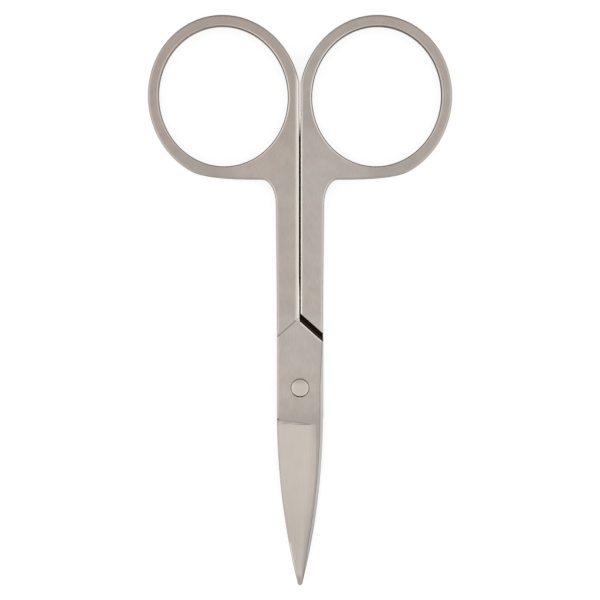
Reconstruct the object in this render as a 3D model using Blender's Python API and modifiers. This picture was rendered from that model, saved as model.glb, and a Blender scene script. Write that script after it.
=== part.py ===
"""Straight nail scissors: two identical steel halves, turned over against each other, on one rivet.

The scissors lie flat and closed. +Y runs from the pivot to the finger rings, -Y to the blade tips,
and +Z up. The origin is on the pivot's axis, in the plane that the scissors rest on.
The front half is the upper one: its ring is on the -X side, and it turns about +Z to open.
"""

import math

import bmesh
import bpy
from mathutils import Matrix, Vector

MM = 0.001

# Joint: each half is thinned to a lap, and the two laps lie on each other.
LAP_THICKNESS = 1.5 * MM
LAP_PLAY = 0.05 * MM
LAP_SIDE = 3.64 * MM
FAR_MARGIN = 0.55 * MM
FAR_MARGIN_AT_END = 0.2 * MM
FAR_TAPER_START = 0.4 * MM
PLATE_ROUND = 0.45 * MM
FAR_ROUND = 0.15 * MM
PARALLEL_LENGTH = 13.0 * MM

# Shoulder: the slanted end of the full-thickness shank, where the other half's lap fits.
SHOULDER_REACH = 11.8 * MM
SHOULDER_SLOPE = math.radians(41.5)
SHOULDER_CLEARANCE = 1.0 * MM
RAMP_WIDTH = 0.55 * MM

# Shank and web
STOCK_THICKNESS = 2.3 * MM
STOCK_ROUND = 0.45 * MM
SHANK_SIDE_AT_WEB = 3.8 * MM
SHANK_GAP = 0.04 * MM
WEB_FILLET_ACROSS = 2.2 * MM
WEB_FILLET_ALONG = 4.1 * MM
WEB_RISE = 0.19 * MM
WEB_BLEND = 2.7 * MM
WEB_BLEND_START = math.radians(235)

# Finger ring: an oval hole in an oval band, which leans outwards more than the hole does
HOLE_REACH = 45.94 * MM
HOLE_WIDTH = 20.33 * MM
HOLE_LENGTH = 22.05 * MM
HOLE_LEAN = math.radians(5.3)
BAND_LEAN = math.radians(8.8)
BAND_SIDE = 1.87 * MM
BAND_END = 2.055 * MM
BAND_AT_GAP = 1.8 * MM
BAND_SHIFT = 0.17 * MM
BAND_DROP = 0.19 * MM
RING_GAP = 0.24 * MM
GAP_FLARE_START = 39.5 * MM
GAP_FLARE_END = 42.9 * MM

# Blade: its cutting edge is an arc that leaves the lap's side without a kink, down to a rounded nose.
BLADE_REACH = 31.15 * MM
HEEL_REACH = 4.0 * MM
TIP_HALF_WIDTH = 0.3 * MM
NOSE_LENGTH = 0.31 * MM
MARGIN_SHARE_AT_TIP = 0.16
EDGE_THICKNESS = 0.12 * MM
HONED_WIDTH = 0.4 * MM
HONED_HEIGHT = 0.34 * MM
HONED_SHARE_AT_TIP = 0.25
SPINE_THICKNESS_AT_TIP = 0.8 * MM
SPINE_TAPER_START = 8.2 * MM
SPINE_ROUND = 0.1 * MM

# Ground face: sunk below the flat of the plate, with a step at its upper end.
STEP_REACH_AT_EDGE = 5.14 * MM
STEP_REACH_INSIDE = 5.82 * MM
STEP_CORNER_ACROSS = 1.1 * MM
STEP_CORNER_ALONG = 2.4 * MM
GRIND_SINK = 0.12 * MM
LAND_WIDTH = 0.4 * MM
LAND_SHARE_AT_TIP = 0.35

# Rivet: countersunk at both faces, with a low dome in front and ground flush behind
RIVET_DIAMETER = 2.0 * MM
RIVET_HEAD_DIAMETER = 2.75 * MM
RIVET_HEAD_DEPTH = 0.5 * MM
RIVET_DOME = 0.14 * MM
RIVET_RIM = 0.05 * MM
BORE_CLEARANCE = 0.05 * MM
MOUTH_CLEARANCE = 0.175 * MM

# Fineness of curved surfaces
RING_STEPS = 64
FILLET_STEPS = 7
BLADE_STEPS = 20
NOSE_STEPS = 6
CORNER_STEPS = 5
ROUND_STEPS = 2
TURN_STEPS = 48
DOME_STEPS = 4

# Helper solids reach past the faces that they cut or join.
OVERRUN = 1.0 * MM
HALF_SPACE = BLADE_REACH + HOLE_REACH
SAME_PLACE = 0.01 * MM
WELD_DISTANCE = 0.001 * MM
FLAT_ANGLE = math.radians(0.1)

# Colours of the satin steel, as linear values
STEEL_COLOUR = (0.45, 0.41, 0.37, 1.0)
RIVET_COLOUR = (0.56, 0.50, 0.45, 1.0)
STEEL_ROUGHNESS = 0.36
RIVET_ROUGHNESS = 0.28
SMOOTH_ANGLE = math.radians(30)

# Levels that follow from the thicknesses
MEETING_LEVEL = LAP_THICKNESS + LAP_PLAY / 2
LAP_LOW = MEETING_LEVEL + LAP_PLAY / 2
LAP_HIGH = LAP_LOW + LAP_THICKNESS
STOCK_LOW = MEETING_LEVEL - STOCK_THICKNESS / 2
STOCK_HIGH = MEETING_LEVEL + STOCK_THICKNESS / 2


def clear_scene():
    for obj in list(bpy.data.objects):
        bpy.data.objects.remove(obj)


def new_collection(name):
    collection = bpy.data.collections.new(name)
    bpy.context.scene.collection.children.link(collection)
    return collection


def steel(name, colour, roughness):
    material = bpy.data.materials.new(name)
    material.use_nodes = True
    shader = material.node_tree.nodes["Principled BSDF"]
    shader.inputs["Base Color"].default_value = colour
    shader.inputs["Metallic"].default_value = 1.0
    shader.inputs["Roughness"].default_value = roughness
    material.diffuse_color = colour
    return material


def place_object(name, data, collection):
    obj = bpy.data.objects.new(name, data)
    collection.objects.link(obj)
    if collection.hide_render:
        obj.hide_render = True
        obj.display_type = "WIRE"
    return obj


def evaluated_mesh(obj):
    graph = bpy.context.evaluated_depsgraph_get()
    return bpy.data.meshes.new_from_object(obj.evaluated_get(graph))


def outline_solid(name, loops, low, high, edge_round, collection):
    """A flat piece from closed outlines, the later ones being its holes, between two levels."""
    curve = bpy.data.curves.new(name, "CURVE")
    curve.dimensions = "2D"
    curve.fill_mode = "BOTH"
    curve.extrude = (high - low) / 2 - edge_round
    curve.bevel_depth = edge_round
    curve.bevel_resolution = ROUND_STEPS - 1
    curve.offset = -edge_round
    for loop in loops:
        spline = curve.splines.new("POLY")
        spline.points.add(len(loop) - 1)
        spline.use_cyclic_u = True
        for point, (x, y) in zip(spline.points, loop):
            point.co = (x, y, 0, 1)
    drawn = bpy.data.objects.new(name + "_outline", curve)
    drawn.location.z = (low + high) / 2
    collection.objects.link(drawn)
    bpy.context.view_layer.update()
    mesh = evaluated_mesh(drawn)
    place = drawn.matrix_world.copy()
    bpy.data.objects.remove(drawn)
    bpy.data.curves.remove(curve)
    weld(mesh)
    mesh.name = name
    obj = place_object(name, mesh, collection)
    obj.matrix_world = place
    return obj


def weld(mesh):
    """Joins a curve's loose caps to its walls, and the triangles of each flat cap to one face."""
    body = bmesh.new()
    body.from_mesh(mesh)
    bmesh.ops.remove_doubles(body, verts=body.verts, dist=WELD_DISTANCE)
    bmesh.ops.dissolve_limit(
        body, angle_limit=FLAT_ANGLE, verts=body.verts, edges=body.edges, delimit={"NORMAL"}
    )
    body.to_mesh(mesh)
    body.free()


def half_space(name, point, normal, collection):
    """A large box on the side of a plane that the normal points to."""
    mesh = bpy.data.meshes.new(name)
    body = bmesh.new()
    bmesh.ops.create_cube(body, size=HALF_SPACE)
    body.to_mesh(mesh)
    body.free()
    obj = place_object(name, mesh, collection)
    turned = Vector(normal).to_track_quat("Z", "Y").to_matrix().to_4x4()
    obj.matrix_world = Matrix.Translation(point) @ turned @ Matrix.Translation((0, 0, HALF_SPACE / 2))
    return obj


def loft(name, sections, collection):
    """A closed body through sections that each have the same number of points."""
    mesh = bpy.data.meshes.new(name)
    body = bmesh.new()
    rings = [[body.verts.new(point) for point in section] for section in sections]
    for ring, following in zip(rings, rings[1:]):
        for index in range(len(ring)):
            after = (index + 1) % len(ring)
            body.faces.new((ring[index], ring[after], following[after], following[index]))
    body.faces.new(rings[0])
    body.faces.new(rings[-1])
    bmesh.ops.triangulate(body, faces=body.faces)
    bmesh.ops.recalc_face_normals(body, faces=body.faces)
    body.to_mesh(mesh)
    body.free()
    return place_object(name, mesh, collection)


def turned_solid(name, profile, collection):
    """A solid of revolution about the pivot's axis, from a profile that runs down its outer side."""
    mesh = bpy.data.meshes.new(name)
    points = [(radius, 0, level) for radius, level in profile]
    mesh.from_pydata(points, [(index, index + 1) for index in range(len(points) - 1)], [])
    obj = place_object(name, mesh, collection)
    screw = obj.modifiers.new("turning", "SCREW")
    screw.axis = "Z"
    screw.angle = math.tau
    screw.steps = TURN_STEPS
    screw.render_steps = TURN_STEPS
    screw.use_merge_vertices = True
    screw.merge_threshold = WELD_DISTANCE
    return obj


def boolean(obj, name, operation, operand):
    modifier = obj.modifiers.new(name, "BOOLEAN")
    modifier.operation = operation
    modifier.solver = "EXACT"
    modifier.object = operand


def shade(mesh):
    mesh.shade_smooth()
    mesh.set_sharp_from_angle(angle=SMOOTH_ANGLE)


def spread(first, last, steps):
    """Evenly spaced values from first to last, both included."""
    return [first + (last - first) * index / steps for index in range(steps + 1)]


def oval_point(centre, across, along, lean, turn):
    """A point of an oval whose far end leans towards -X."""
    x = across * math.cos(turn)
    y = along * math.sin(turn)
    return (
        centre[0] + x * math.cos(lean) - y * math.sin(lean),
        centre[1] + x * math.sin(lean) + y * math.cos(lean),
    )


def half_oval_width(across, along, lean):
    return math.hypot(across * math.cos(lean), along * math.sin(lean))


def hole_centre():
    half_hole = half_oval_width(HOLE_WIDTH / 2, HOLE_LENGTH / 2, HOLE_LEAN)
    return (-(RING_GAP / 2 + BAND_AT_GAP + half_hole), HOLE_REACH)


def finger_hole():
    turns = spread(0, math.tau, RING_STEPS)[:-1]
    return [oval_point(hole_centre(), HOLE_WIDTH / 2, HOLE_LENGTH / 2, HOLE_LEAN, turn) for turn in turns]


def bow_outline():
    """Ring, web and shank of the front half, down to where the lap takes over."""
    across = HOLE_WIDTH / 2 + BAND_SIDE
    along = HOLE_LENGTH / 2 + BAND_END
    centre = (hole_centre()[0] + BAND_SHIFT, HOLE_REACH - BAND_DROP)

    # The oval meets the gap's straight edge above its middle.
    lead = math.atan2(along * math.sin(BAND_LEAN), across * math.cos(BAND_LEAN))
    to_gap = min(1.0, (-RING_GAP / 2 - centre[0]) / half_oval_width(across, along, BAND_LEAN))
    turns = spread(math.acos(to_gap) - lead, WEB_BLEND_START, RING_STEPS)
    oval = [oval_point(centre, across, along, BAND_LEAN, turn) for turn in turns]

    # Below, a flat curve leaves the oval in its own direction and becomes the web's edge.
    fillet_x = -SHANK_SIDE_AT_WEB - WEB_FILLET_ACROSS
    fillet_y = centre[1] - along + WEB_RISE - WEB_FILLET_ALONG
    oval_end = Vector(oval[-1])
    bend = oval_end + (oval_end - Vector(oval[-2])).normalized() * WEB_BLEND
    web_end = Vector((fillet_x, fillet_y + WEB_FILLET_ALONG))
    web = [
        tuple(oval_end * (1 - share) ** 2 + bend * 2 * share * (1 - share) + web_end * share**2)
        for share in spread(0, 1, FILLET_STEPS)[1:-1]
    ]
    fillet = [
        (fillet_x + WEB_FILLET_ACROSS * math.sin(turn), fillet_y + WEB_FILLET_ALONG * math.cos(turn))
        for turn in spread(0, math.pi / 2, FILLET_STEPS)
    ]
    shank = [
        (-LAP_SIDE, PARALLEL_LENGTH),
        (-LAP_SIDE, shoulder_y(-LAP_SIDE) - OVERRUN),
        (-SHANK_GAP / 2, shoulder_y(-SHANK_GAP / 2) - OVERRUN),
        (-SHANK_GAP / 2, PARALLEL_LENGTH),
        (-SHANK_GAP / 2, GAP_FLARE_START),
        (-RING_GAP / 2, GAP_FLARE_END),
    ]
    return oval + web + fillet + shank


def shoulder_y(x):
    """The front half's shoulder line, which falls towards its own outer edge."""
    return SHOULDER_REACH + x * math.tan(SHOULDER_SLOPE)


def lap_end_y(x):
    """The far end of the front half's lap, parallel to the other half's shoulder."""
    return SHOULDER_REACH - SHOULDER_CLEARANCE / math.cos(SHOULDER_SLOPE) - x * math.tan(SHOULDER_SLOPE)


def half_width(y):
    """The blade's cutting edge, as its distance from the centre line."""
    drop = LAP_SIDE - TIP_HALF_WIDTH
    length = BLADE_REACH - HEEL_REACH
    radius = (length**2 + drop**2) / (2 * drop)
    past_heel = max(0.0, -HEEL_REACH - y)
    return LAP_SIDE - radius + math.sqrt(radius**2 - past_heel**2)


def spine_x(y):
    return half_width(y) - min(FAR_MARGIN, MARGIN_SHARE_AT_TIP * 2 * half_width(y))


def blade_width(y):
    return half_width(y) + spine_x(y)


def lap_outline():
    """Pivot plate and blade of the front half: cutting edge on the -X side, spine on the +X side."""
    nose_y = NOSE_LENGTH - BLADE_REACH
    stations = spread(-HEEL_REACH, nose_y, BLADE_STEPS)
    cutting_edge = [(-half_width(y), y) for y in stations]
    spine = [(spine_x(y), y) for y in reversed(stations)]
    nose_half = blade_width(nose_y) / 2
    nose_x = spine_x(nose_y) - nose_half
    nose = [
        (nose_x + nose_half * math.cos(turn), nose_y + NOSE_LENGTH * math.sin(turn))
        for turn in spread(math.pi, math.tau, NOSE_STEPS)[1:-1]
    ]
    end_x = LAP_SIDE - FAR_MARGIN_AT_END
    return (
        [(-LAP_SIDE, shoulder_y(-LAP_SIDE) + OVERRUN)]
        + cutting_edge
        + nose
        + spine
        + [
            (spine_x(0), FAR_TAPER_START),
            (end_x, lap_end_y(end_x)),
            (-SHANK_GAP / 2, lap_end_y(-SHANK_GAP / 2)),
            (-SHANK_GAP / 2, shoulder_y(-SHANK_GAP / 2) + OVERRUN),
        ]
    )


def round_upper_edges(lap):
    """Rounds the lap's upper edges: most on its own outer side, less elsewhere and on the spine."""
    mesh = lap.data
    weights = mesh.attributes.new("bevel_weight_edge", "FLOAT", "EDGE")
    level = max(vertex.co.z for vertex in mesh.vertices)
    for edge in mesh.edges:
        ends = [mesh.vertices[index].co for index in edge.vertices]
        middle = (ends[0] + ends[1]) / 2
        if min(end.z for end in ends) < level - SAME_PLACE:
            continue
        on_own_side = middle.x < SAME_PLACE - half_width(middle.y)
        if on_own_side and middle.y > -STEP_REACH_AT_EDGE:
            weights.data[edge.index].value = 1.0
        elif middle.y > -HEEL_REACH:
            weights.data[edge.index].value = FAR_ROUND / PLATE_ROUND
        elif not on_own_side and middle.y > NOSE_LENGTH - BLADE_REACH:
            weights.data[edge.index].value = SPINE_ROUND / PLATE_ROUND
    modifier = lap.modifiers.new("edge_rounds", "BEVEL")
    modifier.limit_method = "WEIGHT"
    modifier.width = PLATE_ROUND
    modifier.segments = ROUND_STEPS
    modifier.use_clamp_overlap = True


def spine_level(y):
    past_start = max(0.0, -SPINE_TAPER_START - y)
    fall = (LAP_THICKNESS - SPINE_THICKNESS_AT_TIP) / (BLADE_REACH - SPINE_TAPER_START)
    return LAP_HIGH - past_start * fall


def land_x(y):
    """The line between the ground face and the narrow flat along the spine."""
    return spine_x(y) - min(LAND_WIDTH, LAND_SHARE_AT_TIP * blade_width(y))


def honed_x(y):
    """The line between the ground face and the steeper facet that is honed along the cutting edge."""
    return min(HONED_WIDTH, HONED_SHARE_AT_TIP * blade_width(y)) - half_width(y)


def ground_level(x, y):
    """The ground face, straight across from the honed facet to the land."""
    low = LAP_LOW + HONED_HEIGHT
    high = spine_level(y) - GRIND_SINK
    return low + (high - low) * (x - honed_x(y)) / (land_x(y) - honed_x(y))


def honed_level(x, y):
    """The facet along the cutting edge, and the same plane carried on past the edge."""
    rise = (HONED_HEIGHT - EDGE_THICKNESS) / (honed_x(y) + half_width(y))
    return LAP_LOW + EDGE_THICKNESS + rise * (x + half_width(y))


def grind_section(left_y, right_x, right_y):
    """One section of the body that is ground away, from outside the cutting edge to a point in plan."""
    outer_x = -half_width(left_y) - OVERRUN
    top = LAP_HIGH + OVERRUN
    return [
        (outer_x, left_y, honed_level(outer_x, left_y)),
        (honed_x(left_y), left_y, LAP_LOW + HONED_HEIGHT),
        (right_x, right_y, ground_level(right_x, right_y)),
        (right_x, right_y, top),
        (outer_x, left_y, top),
    ]


def grind_cutter(collection):
    """The body ground away above the ground face: a slanting step, a rounded corner, then the land."""
    corner_x = land_x(-STEP_REACH_INSIDE - STEP_CORNER_ALONG) - STEP_CORNER_ACROSS
    step_rise = STEP_REACH_INSIDE - STEP_REACH_AT_EDGE
    sections = []
    for turn in spread(0, math.pi / 2, CORNER_STEPS):
        x = corner_x + STEP_CORNER_ACROSS * math.sin(turn)
        y = -STEP_REACH_INSIDE - STEP_CORNER_ALONG * (1 - math.cos(turn))
        sections.append(grind_section(y + step_rise, x, y))
    for y in spread(-STEP_REACH_INSIDE - STEP_CORNER_ALONG, -BLADE_REACH, BLADE_STEPS)[1:]:
        sections.append(grind_section(y, land_x(y), y))
    past_tip = -BLADE_REACH - NOSE_LENGTH
    sections.append(grind_section(past_tip, land_x(past_tip), past_tip))
    return loft("ground_away", sections, collection)


def bore_cutter(collection):
    """The rivet's bore and countersink through one lap."""
    bore = RIVET_DIAMETER / 2 + BORE_CLEARANCE
    mouth = RIVET_HEAD_DIAMETER / 2 + MOUTH_CLEARANCE
    depth = (mouth - bore) * RIVET_HEAD_DEPTH / ((RIVET_HEAD_DIAMETER - RIVET_DIAMETER) / 2)
    flare = mouth + OVERRUN * (mouth - bore) / depth
    profile = [
        (0, LAP_HIGH + OVERRUN),
        (flare, LAP_HIGH + OVERRUN),
        (bore, LAP_HIGH - depth),
        (bore, LAP_LOW - OVERRUN),
        (0, LAP_LOW - OVERRUN),
    ]
    return turned_solid("rivet_bore", profile, collection)


def front_blade_half(parts, helpers, material):
    """One forging: ring, web, shank, pivot plate and blade."""
    half = outline_solid(
        "front_blade_half", [bow_outline(), finger_hole()], STOCK_LOW, STOCK_HIGH, STOCK_ROUND, parts
    )
    lap = outline_solid("lap_and_blade", [lap_outline()], LAP_LOW - OVERRUN / 2, LAP_HIGH, 0, helpers)
    round_upper_edges(lap)

    along_slope = Vector((-math.sin(SHOULDER_SLOPE), math.cos(SHOULDER_SLOPE), 0))
    shoulder_point = Vector((0, SHOULDER_REACH, 0))
    ramp_angle = math.atan2(LAP_HIGH - STOCK_HIGH, RAMP_WIDTH)
    ramp_normal = along_slope * math.sin(ramp_angle) + Vector((0, 0, math.cos(ramp_angle)))
    ramp = half_space("ramp_away", shoulder_point + Vector((0, 0, STOCK_HIGH)), ramp_normal, helpers)
    boolean(lap, "ramp", "DIFFERENCE", ramp)

    taper_angle = math.atan2(LAP_HIGH - spine_level(-BLADE_REACH), BLADE_REACH - SPINE_TAPER_START)
    taper_normal = (0, -math.sin(taper_angle), math.cos(taper_angle))
    taper = half_space("taper_away", (0, -SPINE_TAPER_START, LAP_HIGH), taper_normal, helpers)
    boolean(lap, "spine_taper", "DIFFERENCE", taper)

    boolean(half, "lap", "UNION", lap)
    boolean(half, "inner_face", "DIFFERENCE", inner_face_cutter(helpers))
    boolean(half, "ground_face", "DIFFERENCE", grind_cutter(helpers))
    boolean(half, "bore", "DIFFERENCE", bore_cutter(helpers))
    bpy.context.view_layer.update()
    mesh = evaluated_mesh(half)
    half.modifiers.clear()
    half.data = mesh
    mesh.materials.append(material)
    shade(mesh)
    return half


def inner_face_cutter(collection):
    """All that is below the lap's inner face, on the pivot's side of the shoulder."""
    reach = HALF_SPACE
    corner = (-reach, shoulder_y(-reach))
    far_corner = (reach, shoulder_y(reach))
    loop = [corner, (-reach, -2 * reach), (reach, -2 * reach), far_corner]
    return outline_solid("inner_face_away", [loop], LAP_LOW - 2 * STOCK_THICKNESS, LAP_LOW, 0, collection)


def rear_blade_half(parts, front, material):
    """The same forging turned over about the scissors' long axis."""
    half = place_object("rear_blade_half", front.data, parts)
    half.rotation_euler = (0, math.pi, 0)
    half.location = front.location
    half.material_slots[0].link = "OBJECT"
    half.material_slots[0].material = material
    return half


def pivot_rivet(parts, material):
    head = RIVET_HEAD_DIAMETER / 2
    body = RIVET_DIAMETER / 2
    tail_level = 2 * MEETING_LEVEL - LAP_HIGH
    head_level = LAP_HIGH - RIVET_RIM
    dome_height = RIVET_DOME + RIVET_RIM
    profile = [
        (head * math.sin(turn), head_level + dome_height * math.cos(turn))
        for turn in spread(0, math.pi / 2, DOME_STEPS)
    ]
    profile += [
        (body, head_level - RIVET_HEAD_DEPTH),
        (body, tail_level + RIVET_HEAD_DEPTH),
        (head, tail_level),
        (0, tail_level),
    ]
    rivet = turned_solid("pivot_rivet", profile, parts)
    rivet.data.materials.append(material)
    return rivet


def main():
    clear_scene()
    parts = new_collection("nail_scissors")
    helpers = new_collection("helpers")
    helpers.hide_render = True
    front = front_blade_half(parts, helpers, steel("satin_steel_front", STEEL_COLOUR, STEEL_ROUGHNESS))
    rear_blade_half(parts, front, steel("satin_steel_rear", STEEL_COLOUR, STEEL_ROUGHNESS))
    pivot_rivet(parts, steel("polished_rivet_steel", RIVET_COLOUR, RIVET_ROUGHNESS))


main()
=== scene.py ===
import math

import bpy
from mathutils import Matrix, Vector


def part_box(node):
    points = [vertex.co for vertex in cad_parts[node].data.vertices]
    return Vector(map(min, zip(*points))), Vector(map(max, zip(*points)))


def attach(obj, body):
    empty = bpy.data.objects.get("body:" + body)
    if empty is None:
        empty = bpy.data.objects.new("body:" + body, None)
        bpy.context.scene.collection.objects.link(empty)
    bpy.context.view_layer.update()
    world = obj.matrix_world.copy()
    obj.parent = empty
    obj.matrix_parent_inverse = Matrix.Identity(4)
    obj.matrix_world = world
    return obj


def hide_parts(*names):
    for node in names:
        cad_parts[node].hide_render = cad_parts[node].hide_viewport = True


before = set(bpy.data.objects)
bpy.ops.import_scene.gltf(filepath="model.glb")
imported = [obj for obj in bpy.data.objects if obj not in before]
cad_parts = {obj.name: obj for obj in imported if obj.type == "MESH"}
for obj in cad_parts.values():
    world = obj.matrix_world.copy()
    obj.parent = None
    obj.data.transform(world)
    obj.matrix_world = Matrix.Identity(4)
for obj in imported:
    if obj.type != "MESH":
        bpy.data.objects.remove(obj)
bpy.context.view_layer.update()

# Bow of the front half: finger ring, web and shank.
# The upper part of a flat steel forging, tumbled and brushed to a warm satin, all its edges rounded.
# It runs down behind the pivot plate, which is joined to it below, so that the two are one piece of steel.
MM = 0.001

front_low, front_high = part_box("front_blade_half")
rear_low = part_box("rear_blade_half")[0]
MEETING_LEVEL = (front_high.z + rear_low.z) / 2
STOCK_THICKNESS = 2.3 * MM
STOCK_LOW = MEETING_LEVEL - STOCK_THICKNESS / 2
STOCK_HIGH = MEETING_LEVEL + STOCK_THICKNESS / 2
STOCK_ROUND = 0.45 * MM

SHANK_SIDE = 3.64 * MM
SHANK_SIDE_AT_WEB = 3.8 * MM
SHANK_GAP = 0.004 * MM
PARALLEL_LENGTH = 13.0 * MM
WEB_FILLET_ACROSS = 2.2 * MM
WEB_FILLET_ALONG = 4.1 * MM
WEB_RISE = 0.19 * MM
WEB_BLEND = 2.7 * MM
WEB_BLEND_START = math.radians(235)

HOLE_REACH = 45.94 * MM
HOLE_WIDTH = 20.33 * MM
HOLE_LENGTH = 22.05 * MM
HOLE_LEAN = math.radians(5.3)
BAND_LEAN = math.radians(8.8)
BAND_SIDE = 1.865 * MM
BAND_END = 2.05 * MM
BAND_AT_GAP = 1.8 * MM
BAND_SHIFT = 0.17 * MM
BAND_DROP = 0.19 * MM
RING_GAP = 0.24 * MM
GAP_FLARE_START = 39.5 * MM
GAP_FLARE_END = 42.9 * MM

SHOULDER_REACH = 11.8 * MM
SHOULDER_SLOPE = math.radians(41.5)
SHOULDER_CLEARANCE = 1.0 * MM

RING_STEPS = 200
FILLET_STEPS = 24
ROUND_STEPS = 6
BURIED = 1.0 * MM
SAME_PLACE = 0.01 * MM
TOUCHING = 0.001 * MM
ON_PLANE = 0.0001 * MM
FLAT_ANGLE = math.radians(0.1)


def pick_only(piece):
    """Leaves this piece alone selected and active, in object mode."""
    bpy.ops.object.select_all(action="DESELECT")
    piece.select_set(True)
    bpy.context.view_layer.objects.active = piece


def flat_blank(name, loops, low, high, edge_round=0.0):
    """A blank drawn as a flat curve, the later loops being its holes, and made a mesh between two levels."""
    curve = bpy.data.curves.new(name, "CURVE")
    curve.dimensions = "2D"
    curve.fill_mode = "BOTH"
    curve.extrude = (high - low) / 2 - edge_round
    curve.bevel_depth = edge_round
    curve.bevel_resolution = ROUND_STEPS - 1
    curve.offset = -edge_round
    for loop in loops:
        line = curve.splines.new("POLY")
        line.points.add(len(loop) - 1)
        line.use_cyclic_u = True
        for point, (x, y) in zip(line.points, loop):
            point.co = (x, y, 0, 1)
    blank = bpy.data.objects.new(name, curve)
    bpy.context.scene.collection.objects.link(blank)
    pick_only(blank)
    bpy.ops.object.convert(target="MESH")
    blank = bpy.context.object
    blank.location.z = (low + high) / 2
    bpy.ops.object.transform_apply(location=True, rotation=False, scale=False)
    bpy.ops.object.mode_set(mode="EDIT")
    bpy.ops.mesh.select_all(action="SELECT")
    bpy.ops.mesh.remove_doubles(threshold=TOUCHING)
    bpy.ops.mesh.dissolve_limited(angle_limit=FLAT_ANGLE, delimit={"NORMAL"})
    bpy.ops.object.mode_set(mode="OBJECT")
    return blank


def spread(first, last, steps):
    return [first + (last - first) * index / steps for index in range(steps + 1)]


def oval_point(centre, across, along, lean, turn):
    """A point of an oval whose far end leans outwards."""
    x = across * math.cos(turn)
    y = along * math.sin(turn)
    return (
        centre[0] + x * math.cos(lean) - y * math.sin(lean),
        centre[1] + x * math.sin(lean) + y * math.cos(lean),
    )


def half_oval_width(across, along, lean):
    return math.hypot(across * math.cos(lean), along * math.sin(lean))


def shoulder_y(x):
    """The slanted end of the front half's shank, which falls towards its own outer side."""
    return SHOULDER_REACH + x * math.tan(SHOULDER_SLOPE)


lap_corner_y = SHOULDER_REACH - SHOULDER_CLEARANCE / math.cos(SHOULDER_SLOPE)
hole_half = (HOLE_WIDTH / 2, HOLE_LENGTH / 2)
hole_x = -(RING_GAP / 2 + BAND_AT_GAP + half_oval_width(*hole_half, HOLE_LEAN))
hole_turns = spread(0, math.tau, RING_STEPS)[:-1]
hole = [oval_point((hole_x, HOLE_REACH), *hole_half, HOLE_LEAN, turn) for turn in hole_turns]

band_half = (HOLE_WIDTH / 2 + BAND_SIDE, HOLE_LENGTH / 2 + BAND_END)
band_centre = (hole_x + BAND_SHIFT, HOLE_REACH - BAND_DROP)
lead = math.atan2(band_half[1] * math.sin(BAND_LEAN), band_half[0] * math.cos(BAND_LEAN))
to_gap = min(1.0, (-RING_GAP / 2 - band_centre[0]) / half_oval_width(*band_half, BAND_LEAN))
band_turns = spread(math.acos(to_gap) - lead, WEB_BLEND_START, RING_STEPS)
band = [oval_point(band_centre, *band_half, BAND_LEAN, turn) for turn in band_turns]

# Below, a flat curve leaves the band's oval in its own direction and becomes the web's edge.
fillet_x = -SHANK_SIDE_AT_WEB - WEB_FILLET_ACROSS
fillet_y = band_centre[1] - band_half[1] + WEB_RISE - WEB_FILLET_ALONG
band_end = Vector(band[-1])
bend = band_end + (band_end - Vector(band[-2])).normalized() * WEB_BLEND
web_end = Vector((fillet_x, fillet_y + WEB_FILLET_ALONG))
web = [
    tuple(band_end * (1 - share) ** 2 + bend * 2 * share * (1 - share) + web_end * share**2)
    for share in spread(0, 1, FILLET_STEPS)[1:-1]
]
web_fillet = [
    (fillet_x + WEB_FILLET_ACROSS * math.sin(turn), fillet_y + WEB_FILLET_ALONG * math.cos(turn))
    for turn in spread(0, math.pi / 2, FILLET_STEPS)
]
shank = [
    (-SHANK_SIDE, PARALLEL_LENGTH),
    (-SHANK_SIDE, shoulder_y(-SHANK_SIDE) - BURIED),
    (-SHANK_GAP / 2, shoulder_y(-SHANK_GAP / 2) - BURIED),
    (-SHANK_GAP / 2, GAP_FLARE_START),
    (-RING_GAP / 2, GAP_FLARE_END),
]
bow_outline = band + web + web_fillet + shank
front_half = flat_blank("front_half_steel", [bow_outline, hole], STOCK_LOW, STOCK_HIGH, STOCK_ROUND)

STEEL_WARM = (0.545, 0.482, 0.428)
STEEL_COOL = (0.525, 0.486, 0.441)
RING_WARM = (0.545, 0.458, 0.408)
POLISH_AND_HIGHLIGHT = (0.93, 0.89, 0.83)
DEEP_SHADE = (0.020, 0.012, 0.007)
RIM_SHADE_COLOUR = (0.13, 0.09, 0.06)
SATIN_ROUGHNESS = (0.30, 0.42)
STROKE_ROUGHNESS = (-0.03, 0.03)
WORN_SMOOTHER = 0.1
SATIN_RELIEF = 0.0018 * MM

# Each span is where a change starts and ends, in the noise, along or across the scissors, or in how
# level the surface lies, where 1 is flat.
NOISE_SPAN = (0.3, 0.7)
WIDE_NOISE_SPAN = (0.2, 0.8)
PATCH_SPAN = (0.35, 0.65)
STROKE_TONES = (0.94, 1.06)
MOTTLE_TONES = (0.97, 1.03)
WARM_ALONG = (30 * MM, 42 * MM)
WARM_ACROSS = (1 * MM, 7 * MM)
WARM_SHARES = (0.5, 0.9)
RING_TONE = 0.88
RING_ALONG = (34 * MM, 45 * MM)
RING_ACROSS = (8 * MM, 13 * MM)
# Painted shade on the rounds that face the far side of the rings
FAR_SIDE_SHADE = 0.85
FAR_SIDE_SHADE_TURN = (0.1, 0.5)
PLATE_TONE = 1.08
# Painted shade: the plate darkens just above the step
HEEL_SHADE = 0.86
HEEL_SHADE_ALONG = (-1.5 * MM, -5.2 * MM)
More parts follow.
